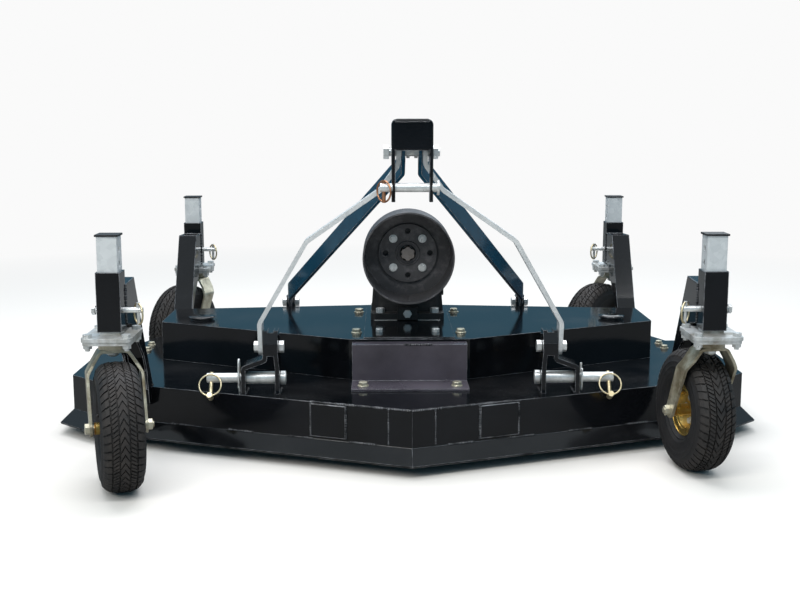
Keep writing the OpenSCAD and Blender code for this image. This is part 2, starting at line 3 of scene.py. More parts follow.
import bmesh
import bpy
from mathutils import Matrix, Vector
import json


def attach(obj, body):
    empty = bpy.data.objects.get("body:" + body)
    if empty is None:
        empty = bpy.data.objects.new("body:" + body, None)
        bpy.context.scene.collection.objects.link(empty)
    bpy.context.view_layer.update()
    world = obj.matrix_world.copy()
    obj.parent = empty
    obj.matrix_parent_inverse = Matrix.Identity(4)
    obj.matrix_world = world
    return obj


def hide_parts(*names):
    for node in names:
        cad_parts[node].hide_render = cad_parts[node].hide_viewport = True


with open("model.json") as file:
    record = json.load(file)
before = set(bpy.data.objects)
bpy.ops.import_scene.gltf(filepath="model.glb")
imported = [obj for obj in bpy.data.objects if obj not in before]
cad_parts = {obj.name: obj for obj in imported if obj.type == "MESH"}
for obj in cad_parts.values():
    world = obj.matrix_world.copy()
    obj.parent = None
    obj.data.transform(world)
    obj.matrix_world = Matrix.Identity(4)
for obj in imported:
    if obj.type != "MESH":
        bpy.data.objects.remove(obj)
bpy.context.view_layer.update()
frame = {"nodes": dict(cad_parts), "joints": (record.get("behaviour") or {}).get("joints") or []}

# Camera: stands on the tractor's side of the parked mower, a little above its mast, and looks slightly
# down. Its place, tilt and lens come from one fit to the mower's standard parts.
camera_data = bpy.data.cameras.new("camera")
camera_data.sensor_width = 36.0
camera_data.lens = 51.98
camera_data.clip_start, camera_data.clip_end = 0.05, 60.0
camera = bpy.data.objects.new("camera", camera_data)
camera.location = (-0.0597, -2.8598, 0.7794)
camera.rotation_euler = (math.radians(90 - 9.29), 0.0, math.radians(-0.79))
bpy.context.collection.objects.link(camera)
bpy.context.scene.camera = camera


# Floor and light: a pale matt studio floor that runs out into a white surround, one large soft light over
# the mower, two weaker ones before and behind it, a narrow strip that draws bright lines along the paint's
# edges, and a sky with a cool low band that the gloss paint mirrors. Mirrored, the floor is a darker grey.
def linear(code):
    """An sRGB hex colour as linear red, green, blue and alpha."""
    values = [int(code[i:i + 2], 16) / 255 for i in (1, 3, 5)]
    return [v / 12.92 if v <= 0.04045 else ((v + 0.055) / 1.055) ** 2.4 for v in values] + [1.0]


def add(tree, kind, inputs=None, **settings):
    """Adds a node to a tree: inputs maps a socket's name or number to a value or to a socket to link from."""
    node = tree.nodes.new(kind)
    for key, value in settings.items():
        setattr(node, key, value)
    for key, value in (inputs or {}).items():
        if isinstance(value, bpy.types.NodeSocket):
            tree.links.new(value, node.inputs[key])
        else:
            node.inputs[key].default_value = value
    return node


bpy.context.scene.view_settings.view_transform = "Standard"
bpy.ops.mesh.primitive_plane_add(size=60.0)
floor = bpy.context.object
floor.name = "studio_floor"
floor_finish = bpy.data.materials.new("pale_floor")
floor_finish.use_nodes = True
tree = floor_finish.node_tree
shader = tree.nodes["Principled BSDF"]
shader.inputs["Roughness"].default_value = 0.9
shader.inputs["Specular IOR Level"].default_value = 0.1
reach = add(tree, "ShaderNodeVectorMath", {0: add(tree, "ShaderNodeNewGeometry").outputs["Position"]},
            operation="LENGTH")
away = add(tree, "ShaderNodeMapRange", {"Value": reach.outputs["Value"], "From Min": 1.3, "From Max": 4.0})
surround = add(tree, "ShaderNodeEmission", {"Color": linear("#fafafa"), "Strength": 1.0})
path = add(tree, "ShaderNodeLightPath")
seen = add(tree, "ShaderNodeMath", {0: away.outputs["Result"], 1: path.outputs["Is Camera Ray"]},
           operation="MULTIPLY")
tone = add(tree, "ShaderNodeMix", {"Factor": path.outputs["Is Glossy Ray"], 6: linear("#e9e5df"),
                                   7: linear("#8b8a88")}, data_type="RGBA")
tree.links.new(tone.outputs[2], shader.inputs["Base Color"])
mixed = add(tree, "ShaderNodeMixShader", {0: seen.outputs[0], 1: shader.outputs[0], 2: surround.outputs[0]})
tree.links.new(mixed.outputs[0], tree.nodes["Material Output"].inputs["Surface"])
floor.data.materials.append(floor_finish)


def soft_light(name, place, aim, size, power, colour):
    data = bpy.data.lights.new(name, "AREA")
    data.shape, data.size, data.size_y = "RECTANGLE", size[0], size[1]
    data.energy, data.color = power, linear(colour)[:3]
    lamp = bpy.data.objects.new(name, data)
    lamp.location = place
    lamp.rotation_euler = (Vector(aim) - Vector(place)).to_track_quat("-Z", "Y").to_euler()
    bpy.context.collection.objects.link(lamp)


soft_light("overhead_softbox", (-0.3, 0.8, 3.4), (0, 0, 0.2), (3.4, 2.2), 95, "#fbfaff")
soft_light("front_softbox", (-2.6, -3.4, 2.6), (0, 0, 0.25), (2.0, 1.6), 62, "#fff8ee")
soft_light("rear_softbox", (1.8, 3.4, 2.6), (0, 0, 0.2), (2.4, 1.6), 30, "#f2f4f6")
soft_light("edge_strip", (0.2, -2.1, 2.7), (0, 0, 0.2), (3.6, 0.09), 42, "#ffffff")

world = bpy.data.worlds.new("quiet_sky")
world.use_nodes = True
bpy.context.scene.world = world
sky = world.node_tree
direction = add(sky, "ShaderNodeTexCoord")
height = add(sky, "ShaderNodeSeparateXYZ", {0: direction.outputs["Generated"]})
band = add(sky, "ShaderNodeValToRGB", {"Fac": height.outputs["Z"]})
band.color_ramp.elements[0].color = linear("#2c4a5a")
band.color_ramp.elements[0].position = 0.0
band.color_ramp.elements[1].color = linear("#dfe9f0")
band.color_ramp.elements[1].position = 0.8
middle = band.color_ramp.elements.new(0.3)
middle.color = linear("#5f8ea6")
ray = add(sky, "ShaderNodeLightPath")
lit = add(sky, "ShaderNodeMix", {"Factor": ray.outputs["Is Camera Ray"], 6: band.outputs["Color"],
                                 7: linear("#fafafa")}, data_type="RGBA")
glow = sky.nodes["Background"]
sky.links.new(lit.outputs[2], glow.inputs["Color"])
glow.inputs["Strength"].default_value = 1.0


# Deck: the wide pan pressed and welded from 5 mm steel plate, with a flared skirt welded along its
# lower edge. Sprayed in gloss black enamel, which mirrors the sky and holds pale dust on flat places.
def noise(tree, coords, scale_mm, detail=4.0, rough=0.55):
    """A noise pattern whose blobs are about scale_mm across."""
    return add(tree, "ShaderNodeTexNoise", {"Vector": coords, "Scale": 1000.0 / scale_mm,
                                            "Detail": detail, "Roughness": rough})


def ramp(tree, factor, low, high, low_out=0.0, high_out=1.0):
    """Maps low..high of a value to low_out..high_out, held at the ends."""
    return add(tree, "ShaderNodeMapRange", {"Value": factor, "From Min": low, "From Max": high,
                                            "To Min": low_out, "To Max": high_out}).outputs["Result"]


def blend_colour(tree, factor, a, b):
    """Mixes two colours, each a hex code or a socket."""
    sockets = {6: a if isinstance(a, bpy.types.NodeSocket) else linear(a),
               7: b if isinstance(b, bpy.types.NodeSocket) else linear(b), "Factor": factor}
    return add(tree, "ShaderNodeMix", sockets, data_type="RGBA").outputs[2]


def finish(name):
    """A new material with its shader, and object coordinates to draw patterns with."""
    material = bpy.data.materials.new(name)
    material.use_nodes = True
    tree = material.node_tree
    coords = add(tree, "ShaderNodeTexCoord").outputs["Object"]
    return material, tree, tree.nodes["Principled BSDF"], coords


def facing_up(tree):
    """1 on level tops, 0 on walls."""
    normal = add(tree, "ShaderNodeNewGeometry").outputs["Normal"]
    upward = add(tree, "ShaderNodeSeparateXYZ", {0: normal}).outputs["Z"]
    return ramp(tree, upward, 0.35, 0.95)


def relief(tree, shader, height, distance_mm, edge_mm=0.0):
    """Bumps the surface by a height pattern, over edges rounded to edge_mm."""
    inputs = {"Height": height, "Distance": distance_mm / 1000.0, "Strength": 1.0}
    if edge_mm:
        inputs["Normal"] = add(tree, "ShaderNodeBevel", {"Radius": edge_mm / 1000.0}, samples=4).outputs[0]
    tree.links.new(add(tree, "ShaderNodeBump", inputs).outputs[0], shader.inputs["Normal"])


def painted_edge_highlight(tree, coords, edge_mm):
    """1 along sharp edges, broken up along their length: the mask of painted highlight lines on the paint's
    edges.
    """
    rounded = add(tree, "ShaderNodeBevel", {"Radius": edge_mm / 1000.0}, samples=8).outputs[0]
    flat = add(tree, "ShaderNodeNewGeometry").outputs["True Normal"]
    square = add(tree, "ShaderNodeVectorMath", {0: rounded, 1: flat}, operation="DOT_PRODUCT")
    near = ramp(tree, square.outputs["Value"], 0.985, 0.86)
    broken = ramp(tree, noise(tree, coords, 38, 6.0, 0.7).outputs["Fac"], 0.36, 0.6)
    return add(tree, "ShaderNodeMath", {0: near, 1: broken}, operation="MULTIPLY").outputs[0]


def black_enamel(name, edge_mm, dusty, low="#08090a", high="#101216", gloss=0.1):
    """Sprayed alkyd enamel: a deep gloss black with orange peel, a little settled dust and rounded edges,
    with pale painted highlight lines along the edges.
    """
    material, tree, shader, coords = finish(name)
    cloud = noise(tree, coords, 210, 5.0, 0.6).outputs["Fac"]
    speck = noise(tree, coords, 7, 3.0, 0.7).outputs["Fac"]
    dust = add(tree, "ShaderNodeMath", {0: ramp(tree, cloud, 0.45, 0.8), 1: facing_up(tree)},
               operation="MULTIPLY").outputs[0]
    film = add(tree, "ShaderNodeMath", {0: dust, 1: dusty}, operation="MULTIPLY").outputs[0]
    grit = add(tree, "ShaderNodeMath", {0: ramp(tree, speck, 0.7, 0.78), 1: 0.6 * dusty},
               operation="MULTIPLY").outputs[0]
    cover = add(tree, "ShaderNodeMath", {0: film, 1: grit}, operation="MAXIMUM").outputs[0]
    paint = blend_colour(tree, ramp(tree, cloud, 0.3, 0.7), low, high)
    coated = blend_colour(tree, cover, paint, "#5d5952")
    # painted highlight: pale #a9abb0 blended over the paint along sharp edges, standing in for bright edge
    # reflections
    edge_highlight = painted_edge_highlight(tree, coords, 0.6 * edge_mm)
    tree.links.new(blend_colour(tree, edge_highlight, coated, "#a9abb0"), shader.inputs["Base Color"])
    tree.links.new(ramp(tree, cover, 0.0, 0.4, gloss, 0.5), shader.inputs["Roughness"])
    shader.inputs["IOR"].default_value = 1.5
    shader.inputs["Specular IOR Level"].default_value = 0.36
    peel = noise(tree, coords, 6, 2.0, 0.5).outputs["Fac"]
    relief(tree, shader, peel, 0.05, edge_mm)
    return material


def dress(material, *nodes):
    """Gives carried-over parts their finish."""
    for node in nodes:
        for slot in frame["nodes"][node].material_slots:
            slot.material = material


deck_enamel = black_enamel("black_enamel_on_plate", 3.0, 0.1)
tube_enamel = black_enamel("black_enamel_on_tube", 4.5, 0.08)
# painted reflection: the centre panel's black paint is lifted to grey-lavender, standing in for the bright
# ground and sky it mirrors
panel_enamel_painted_reflection = black_enamel("black_enamel_on_panel_painted_reflection", 3.0, 0.15, "#37343a", "#544f58", 0.26)
# painted reflection: the rear struts' black paint is tinted teal-blue, standing in for the sky mirrored in it
strut_enamel_painted_sky_reflection = black_enamel("black_enamel_on_struts_painted_sky_reflection", 4.5, 0.08, "#12364a", "#1e4d64")
dress(deck_enamel, "deck_shell", "belt_cover", "cover_plate", "spindle_caps", "strut_lugs", "hitch_clevises")
dress(tube_enamel, "front_uprights", "rear_uprights", "top_bracket")
dress(strut_enamel_painted_sky_reflection, "rear_struts")
dress(panel_enamel_painted_reflection, "centre_panel")


def evaluate(tree, values, mesh=None):
    """Runs a geometry tree on a mesh, or on nothing, and returns its result as a plain mesh."""
    holder = bpy.data.objects.new("holder", mesh or bpy.data.meshes.new("holder"))
    bpy.context.collection.objects.link(holder)
    modifier = holder.modifiers.new("repeat", "NODES")
    modifier.node_group = tree
    for item in tree.interface.items_tree:
        if item.in_out == "INPUT" and item.name in values:
            modifier[item.identifier] = values[item.name]
    bpy.context.view_layer.update()
    result = holder.evaluated_get(bpy.context.evaluated_depsgraph_get())
    flat = bpy.data.meshes.new_from_object(result)
    bpy.data.objects.remove(holder)
    return flat


def join_meshes(name, parts, material, body, smooth=False):
    """One piece on a body from (mesh, matrix) pairs, with outward faces."""
    whole = bmesh.new()
    for mesh, matrix in parts:
        copy = mesh.copy()
        copy.transform(matrix)
        whole.from_mesh(copy)
        bpy.data.meshes.remove(copy)
    bmesh.ops.recalc_face_normals(whole, faces=whole.faces)
    mesh = bpy.data.meshes.new(name)
    whole.to_mesh(mesh)
    whole.free()
    mesh.materials.clear()
    mesh.materials.append(material)
    for face in mesh.polygons:
        face.use_smooth = smooth
        face.material_index = 0
    piece = bpy.data.objects.new(name, mesh)
    bpy.context.collection.objects.link(piece)
    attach(piece, body)
    return piece


def lend(mesh):
    """An unseen object that only lends its mesh to a geometry tree."""
    block = bpy.data.objects.new("block", mesh)
    bpy.context.collection.objects.link(block)
    block.hide_render = True
    return block


def geometry_tree(name, **inputs):
    """A new geometry tree with the named inputs; returns it with its input node."""
    tree = bpy.data.node_groups.new(name, "GeometryNodeTree")
    for label, kind in inputs.items():
        tree.interface.new_socket(label, in_out="INPUT", socket_type="NodeSocket" + kind)
    tree.interface.new_socket("Geometry", in_out="OUTPUT", socket_type="NodeSocketGeometry")
    return tree, add(tree, "NodeGroupInput")


def close_tree(tree, instances, material):
    """Ends a geometry tree: instances made real and given their finish."""
    real = add(tree, "GeometryNodeRealizeInstances", {0: instances.outputs[0]})
    dressed = add(tree, "GeometryNodeSetMaterial", {"Geometry": real.outputs[0], "Material": material})
    add(tree, "NodeGroupOutput", {0: dressed.outputs[0]})


# the hand-laid weld: overlapping round ripples set along each joint
BEAD_R, BEAD_STEP = 0.0027, 0.0034
bead_form = bmesh.new()
bmesh.ops.create_icosphere(bead_form, subdivisions=2, radius=BEAD_R)
bead_mesh = bpy.data.meshes.new("bead")
bead_form.to_mesh(bead_mesh)
bead_form.free()
weld_tree, weld_given = geometry_tree("weld_run", Joint="Geometry", Bead="Object", Step="Float")
runs = add(weld_tree, "GeometryNodeMeshToCurve", {0: weld_given.outputs["Joint"]})
spaced = add(weld_tree, "GeometryNodeResampleCurve", {"Curve": runs.outputs[0],
                                                      "Length": weld_given.outputs["Step"]}, mode="LENGTH")
bead = add(weld_tree, "GeometryNodeObjectInfo", {"Object": weld_given.outputs["Bead"]})
girth = add(weld_tree, "FunctionNodeRandomValue", {2: 0.6, 3: 1.2, 8: 11}, data_type="FLOAT")
ripples = add(weld_tree, "GeometryNodeInstanceOnPoints", {"Points": spaced.outputs[0],
                                                          "Instance": bead.outputs["Geometry"],
                                                          "Scale": girth.outputs[1]})
close_tree(weld_tree, ripples, deck_enamel)

# the deck's front wall runs from the nose to each side, out by WALL_RUN and back by WALL_BACK
WALL_RUN, WALL_BACK, NOSE = 0.742, 0.282, -0.451
wall_length = math.hypot(WALL_RUN, WALL_BACK)
# heights of the welded seams, and the faces of clevis strips, bent tubes, sleeves and lugs that they follow
SKIRT_SEAM, NOSE_SEAM, ROOF_SEAM, COVER_SEAM = 0.0605, 0.1435, 0.1445, 0.2358
SKIRT_RUN, WALL_SEAM_TOP = 0.06, 0.141
SLEEVE_LOW, SLEEVE_HIGH = 0.336, 0.417
FRONT_SLEEVE_FACE, REAR_SLEEVE_FACE = -0.448, 0.575
CLEVIS_FACES = (0.2975, 0.3085, 0.3745, 0.3855)
TUBE_FACES = (0.6045, 0.6555)
LUG_FACES = (0.3065, 0.3315)
# the doubling plates on that wall: inner and outer end along it, for each side
DOUBLER_ENDS = {-1: (0.155, 0.239), 1: (0.161, 0.256)}
DOUBLER_LOW, DOUBLER_HIGH = 0.066, 0.1405


def on_wall(side, along, height, proud=0.0):
    """A place on the deck's front wall, along metres from the nose on one side and proud of its face."""
    dx, dy = WALL_RUN / wall_length, WALL_BACK / wall_length
    return (side * (along * dx + proud * dy), NOSE + along * dy - proud * dx, height)


joints = []
for side in (-1, 1):
    for start in (0.085, 0.235, 0.385, 0.535, 0.685):
        joints.append([on_wall(side, start, SKIRT_SEAM), on_wall(side, start + SKIRT_RUN, SKIRT_SEAM)])
    joints.append([on_wall(side, 0.055, 0.064, -0.001), on_wall(side, 0.055, WALL_SEAM_TOP, -0.001)])
    joints.append([on_wall(side, 0.002, NOSE_SEAM, -0.001), on_wall(side, 0.24, NOSE_SEAM, -0.001)])
    inner, outer = DOUBLER_ENDS[side]
    for along in (inner - 0.001, outer + 0.001):
        joints.append([on_wall(side, along, DOUBLER_LOW, 0.001), on_wall(side, along, WALL_SEAM_TOP, 0.001)])
    for x in CLEVIS_FACES:
        joints.append([(side * x, -0.298, ROOF_SEAM), (side * x, -0.242, ROOF_SEAM)])
    for x in TUBE_FACES:
        joints.append([(side * x, 0.384, ROOF_SEAM), (side * x, 0.326, ROOF_SEAM)])
        joints.append([(side * x, -0.208, ROOF_SEAM), (side * x, -0.199, ROOF_SEAM)])
        for y in (FRONT_SLEEVE_FACE, REAR_SLEEVE_FACE):
            joints.append([(side * x, y, SLEEVE_LOW), (side * x, y, SLEEVE_HIGH)])
    for x in LUG_FACES:
        joints.append([(side * x, 0.338, ROOF_SEAM), (side * x, 0.383, ROOF_SEAM)])
joints.append([(-0.012, -0.1885, COVER_SEAM), (0.05, -0.1885, COVER_SEAM)])
joint_lines = bpy.data.meshes.new("joint_lines")
ends = [point for line in joints for point in line]
joint_lines.from_pydata(ends, [(i, i + 1) for i in range(0, len(ends), 2)], [])
bead_block = lend(bead_mesh)
beads = evaluate(weld_tree, {"Bead": bead_block, "Step": BEAD_STEP}, joint_lines)
join_meshes("weld_beads", [(beads, Matrix())], deck_enamel, "mower_frame", smooth=True)
bpy.data.objects.remove(bead_block)

# doubling plates welded over the front wall, 3 mm thick with eased edges
for side, ends_along in DOUBLER_ENDS.items():
    plate = bmesh.new()
    rows = [[on_wall(side, along, height, proud) for along in ends_along
             for height in (DOUBLER_LOW, DOUBLER_HIGH)] for proud in (-0.001, 0.003)]
    corners = [plate.verts.new(point) for row in rows for point in row]
    for ring in ((0, 1, 3, 2), (4, 6, 7, 5), (0, 2, 6, 4), (1, 5, 7, 3), (0, 4, 5, 1), (2, 3, 7, 6)):
        plate.faces.new([corners[i] for i in ring])
    bmesh.ops.bevel(plate, geom=plate.edges[:], offset=0.0011, segments=2, affect="EDGES")
    mesh = bpy.data.meshes.new("doubler")
    plate.to_mesh(mesh)
    plate.free()
    join_meshes("front_doubler_" + ("left" if side < 0 else "right"), [(mesh, Matrix())], deck_enamel,
                "mower_frame")


# Gearbox: a sand-cast iron housing for the right-angle drive, bolted by its foot to the belt cover and
# painted black over the rough casting skin. The spindle housings under the deck are cast and painted alike.
def cast_paint():
    """Black paint over sand-cast iron: a grainy, half-gloss skin with dust in its hollows."""
    material, tree, shader, coords = finish("black_paint_on_casting")
    grain = noise(tree, coords, 2.2, 5.0, 0.65).outputs["Fac"]
    cloud = noise(tree, coords, 45, 4.0, 0.6).outputs["Fac"]
    paint = blend_colour(tree, ramp(tree, cloud, 0.35, 0.7), "#18191a", "#2e2d2d")
    dusty = add(tree, "ShaderNodeMath", {0: ramp(tree, cloud, 0.5, 0.75), 1: facing_up(tree)},
                operation="MULTIPLY").outputs[0]
    tree.links.new(blend_colour(tree, dusty, paint, "#5d594f"), shader.inputs["Base Color"])
    tree.links.new(ramp(tree, grain, 0.3, 0.7, 0.3, 0.48), shader.inputs["Roughness"])
    relief(tree, shader, grain, 0.5, 2.0)
    return material


casting = cast_paint()
dress(casting, "gearbox", "spindle_housings")


# Bell guard: moulded black polyethylene round the splined shaft, bolted through its back to the front of
# the gearbox. The push-in caps of the height posts are a darker plastic.
def moulded_plastic(name, dark, light):
    """Dull moulded plastic with a fine pebble and pale scuffs."""
    material, tree, shader, coords = finish(name)
    pebble = noise(tree, coords, 1.6, 2.0, 0.5).outputs["Fac"]
    scuff = noise(tree, coords, 30, 6.0, 0.7).outputs["Fac"]
    tree.links.new(blend_colour(tree, ramp(tree, scuff, 0.5, 0.8), dark, light), shader.inputs["Base Color"])
    tree.links.new(ramp(tree, scuff, 0.3, 0.8, 0.42, 0.6), shader.inputs["Roughness"])
    relief(tree, shader, pebble, 0.15, 1.5)
    return material


guard_plastic = moulded_plastic("moulded_polyethylene", "#454446", "#716f72")
cap_plastic = moulded_plastic("pressed_in_cap_plastic", "#161618", "#2f2e31")
dress(guard_plastic, "pto_guard")
dress(cap_plastic, "post_caps")


def lathe(profile, steps):
    """Turns a closed profile of (radius, place along X) round the X axis."""
    mesh = bpy.data.meshes.new("turned")
    count = len(profile)
    points, faces = [], []
    for i in range(steps):
        angle = 2 * math.pi * i / steps
        points += [(x, -r * math.sin(angle), r * math.cos(angle)) for r, x in profile]
        for j in range(count):
            a, b = i * count + j, i * count + (j + 1) % count
            c, d = (i + 1) % steps * count + (j + 1) % count, (i + 1) % steps * count + j
            faces.append((a, b, c, d))
    mesh.from_pydata(points, [], faces)
    mesh.update()
    return mesh


def slab(name, middle, sizes, ease, material):
    """A bar on the frame with eased edges, from its middle and sizes in metres."""
    form = bmesh.new()
    bmesh.ops.create_cube(form, size=1.0, matrix=Matrix.Translation(middle) @ Matrix.Diagonal((*sizes, 1.0)))
    bmesh.ops.bevel(form, geom=form.edges[:], offset=ease, segments=2, affect="EDGES")
    mesh = bpy.data.meshes.new(name)
    form.to_mesh(mesh)
    form.free()
    return join_meshes(name, [(mesh, Matrix())], material, "mower_frame")


# a raised collar round the shaft's opening, and the parting line of the mould along the bell's floor
AXIS_Z = 0.425
collar = lathe([(0.0262, 0.0425), (0.0262, 0.0392), (0.0268, 0.0385), (0.0302, 0.0385), (0.0308, 0.0392),
                (0.0308, 0.0425)], 48)
about_y = Matrix.Translation((0, 0, AXIS_Z)) @ Matrix.Rotation(math.radians(90), 4, "Z")
join_meshes("guard_collar", [(collar, about_y)], guard_plastic, "mower_frame", smooth=True)
slab("guard_parting_line", (0, -0.012, AXIS_Z - 0.1083), (0.0016, 0.118, 0.0018), 0.0004, guard_plastic)


# Zinc and bare steel: the height posts with their plates and the flat mast arms are dipped in zinc, bolts
# and pins are bright or yellow plated, and forks and rims are passivated. Blades and shaft are bare steel.
def zinc(name, pale, dark, edge_mm, metallic=0.85, spangle_mm=14.0, gloss=0.34, splash=None):
    """Zinc-coated steel: soft grey metal with faint crystal patches, dull stains and, where splash gives a
    colour, dirt thrown up over the caster plates."""
    material, tree, shader, coords = finish(name)
    cells = add(tree, "ShaderNodeTexVoronoi", {"Vector": coords, "Scale": 1000.0 / spangle_mm})
    patch = add(tree, "ShaderNodeSeparateXYZ", {0: cells.outputs["Color"]}).outputs["X"]
    stain = noise(tree, coords, 60, 6.0, 0.65).outputs["Fac"]
    metal = blend_colour(tree, ramp(tree, patch, 0.0, 1.0, 0.15, 0.5), pale, dark)
    dull = ramp(tree, stain, 0.52, 0.78)
    worn = blend_colour(tree, dull, metal, dark)
    if splash:
        height = add(tree, "ShaderNodeSeparateXYZ", {0: coords}).outputs["Z"]
        low_down = ramp(tree, height, 0.342, 0.328)
        patchy = ramp(tree, stain, 0.4, 0.66, 0.1, 0.9)
        thrown = add(tree, "ShaderNodeMath", {0: low_down, 1: patchy}, operation="MULTIPLY")
        worn = blend_colour(tree, thrown.outputs[0], worn, splash)
    tree.links.new(worn, shader.inputs["Base Color"])
    shader.inputs["Metallic"].default_value = metallic
    tree.links.new(ramp(tree, stain, 0.35, 0.75, gloss, gloss + 0.2), shader.inputs["Roughness"])
    relief(tree, shader, stain, 0.25, edge_mm)
    return material


galvanised = zinc("dipped_zinc", "#eef1f2", "#bfc5c7", 1.5, 0.55, 14.0, 0.36)
bright_zinc = zinc("bright_zinc_plate", "#eef0ef", "#b4b6b4", 0.8, 0.6, 8.0, 0.24)
yellow_zinc = zinc("yellow_zinc_plate", "#e8dcbb", "#b5a276", 0.5, 0.8, 8.0, 0.3)
copper_zinc = zinc("copper_zinc_plate", "#d9a07c", "#96623f", 0.5, 0.9, 8.0, 0.3)
pale_zinc = zinc("pale_chromate_zinc", "#dcd8c4", "#8d8369", 1.5, 0.7, 18.0, 0.3)
fork_zinc = zinc("splashed_chromate_zinc", "#e0dcc8", "#8d8369", 1.5, 0.65, 18.0, 0.28, "#6f634c")
gold_zinc = zinc("yellow_chromate_zinc", "#e0c372", "#957847", 1.0, 0.9, 22.0, 0.22)
worn_steel = zinc("rolled_steel", "#6d6b68", "#3d3a38", 1.0, 0.9, 20.0, 0.42)
splashed_zinc = zinc("splashed_dipped_zinc", "#eef1f2", "#bfc5c7", 1.5, 0.55, 14.0, 0.36, "#8c877c")
dress(galvanised, "mast_arms")
dress(splashed_zinc, "front_posts", "rear_posts")
dress(bright_zinc, "plate_bolts", "mast_bolt", "hitch_pins", "top_link_pin", "guard_bolts", "lock_pins")
dress(yellow_zinc, "hitch_clips")
dress(copper_zinc, "top_link_clip")
casters = ["front_left", "front_right", "rear_left", "rear_right"]
dress(fork_zinc, *[corner + "_fork" for corner in casters])
dress(gold_zinc, *[corner + "_rim" for corner in casters])
shaft_steel = zinc("greased_machined_steel", "#a89e98", "#6a605b", 0.6, 0.9, 16.0, 0.32)
dress(worn_steel, "centre_blade", "left_blade", "right_blade")
dress(shaft_steel, "pto_shaft")


# Fasteners: zinc-plated hexagon bolts, some on washers, and the lock nuts and bolt heads of the casters.
# Each is turned down on the face that it clamps.
def stack(rings, sides):
    """A closed solid from (radius, height) rings in millimetres with the given number of sides."""
    form = bmesh.new()
    loops = [[form.verts.new((r * math.cos(2 * math.pi * i / sides) / 1000,
                              r * math.sin(2 * math.pi * i / sides) / 1000, h / 1000))
              for i in range(sides)] for r, h in rings]
    for low, top in zip(loops, loops[1:]):
        for i in range(sides):
            form.faces.new((low[i], low[(i + 1) % sides], top[(i + 1) % sides], top[i]))
    form.faces.new(loops[0][::-1])
    form.faces.new(loops[-1])
    mesh = bpy.data.meshes.new("stack")
    form.to_mesh(mesh)
    form.free()
    return mesh


def merge(*meshes):
    """Several closed forms as one mesh."""
    form = bmesh.new()
    for mesh in meshes:
        form.from_mesh(mesh)
    mesh = bpy.data.meshes.new("merged")
    form.to_mesh(mesh)
    form.free()
    return mesh


hex_head = stack([(9.9, -0.2), (9.9, 7.4), (8.7, 8.4)], 6)
washer = stack([(13.3, -0.2), (13.3, 1.8), (12.8, 2.4)], 24)
hex_raised = stack([(11.0, 2.0), (11.0, 9.4), (9.8, 10.4)], 6)
washered = merge(washer, hex_raised)
deep_head = stack([(9.9, -0.2), (9.9, 10.0), (8.8, 11.0)], 6)
nut_body = stack([(9.9, -0.2), (9.9, 6.4), (8.9, 7.2)], 6)
nut_collar = stack([(7.4, 7.0), (7.4, 8.0), (6.6, 8.6)], 24)
lock_nut = merge(nut_body, nut_collar)

bolt_tree, bolt_given = geometry_tree("bolts_on_faces", Faces="Geometry", Bolt="Object")
bolt = add(bolt_tree, "GeometryNodeObjectInfo", {"Object": bolt_given.outputs["Bolt"]})
bolt_turn = add(bolt_tree, "GeometryNodeInputNamedAttribute", {"Name": "turn"}, data_type="FLOAT_VECTOR")
bolt_size = add(bolt_tree, "GeometryNodeInputNamedAttribute", {"Name": "size"}, data_type="FLOAT")
set_bolts = add(bolt_tree, "GeometryNodeInstanceOnPoints", {"Points": bolt_given.outputs["Faces"],
                                                            "Instance": bolt.outputs["Geometry"],
                                                            "Rotation": bolt_turn.outputs[0],
                                                            "Scale": bolt_size.outputs[0]})
close_tree(bolt_tree, set_bolts, bright_zinc)


def bolts(name, form, places, material, body):
    """Sets one bolt form at each (place in mm, way it points, size, turn in degrees)."""
    spots = bpy.data.meshes.new("spots")
    spots.from_pydata([Vector(place) / 1000 for place, *_rest in places], [], [])
    spots.attributes.new("turn", "FLOAT_VECTOR", "POINT")
    spots.attributes.new("size", "FLOAT", "POINT")
    turns = []
    for _place, way, _size, spin in places:
        spun = Matrix.Rotation(math.radians(spin), 3, "Z").to_quaternion()
        turns += list((Vector(way).to_track_quat("Z", "Y") @ spun).to_euler())
    spots.attributes["turn"].data.foreach_set("vector", turns)
    spots.attributes["size"].data.foreach_set("value", [size_of for _place, _way, size_of, _spin in places])
    block = lend(form)
    mesh = evaluate(bolt_tree, {"Bolt": block}, spots)
    bpy.data.objects.remove(block)
    return join_meshes(name, [(mesh, Matrix())], material, body)


# bright rims of the steel shim between the gearbox's foot and the belt cover
for side in (-1, 1):
    slab("gearbox_shim_" + ("left" if side < 0 else "right"), (side * 0.056, 0.0790, 0.2462),
         (0.058, 0.006, 0.0016), 0.0005, bright_zinc)

# where the bolts stand, in millimetres: heights of the faces, and the rear cap's circle of bolts
UP, DOWN, FRONT, BACK = (0, 0, 1), (0, 0, -1), (0, -1, 0), (0, 1, 0)
DECK_TOP, PANEL_FOOT, COVER_TOP, COVER_PLATE_TOP, GEARBOX_FOOT_TOP = 144, 149, 242, 246, 263.6
CAP_CIRCLE, CAP_FACE, SHAFT_HEIGHT = 52, 247.4, 425
DRAIN_PLUG = (0, 72.3, 264)
LUG_MIDDLE, LUG_HALF = 323, 12.0
cover_spots = [((x, y, COVER_TOP), UP, 1.0, spin) for x, y, spin in
               ((-128, -72, 12), (128, -72, 40), (-128, 222, 5), (128, 222, 28))]
cover_spots += [((x, -243, PANEL_FOOT), UP, 1.0, spin) for x, spin in ((-109, 20), (109, 48))]
cover_spots += [((x, y, DECK_TOP), UP, 0.85, spin) for x, y, spin in
                ((-697, 198, 10), (700, 205, 33), (-700, 268, 50), (700, 268, 22))]
bolts("washered_bolts", washered, cover_spots, pale_zinc, "mower_frame")
foot_spots = [((x, y, GEARBOX_FOOT_TOP), UP, 1.16, 0) for x in (-70, 70) for y in (92, 236)]
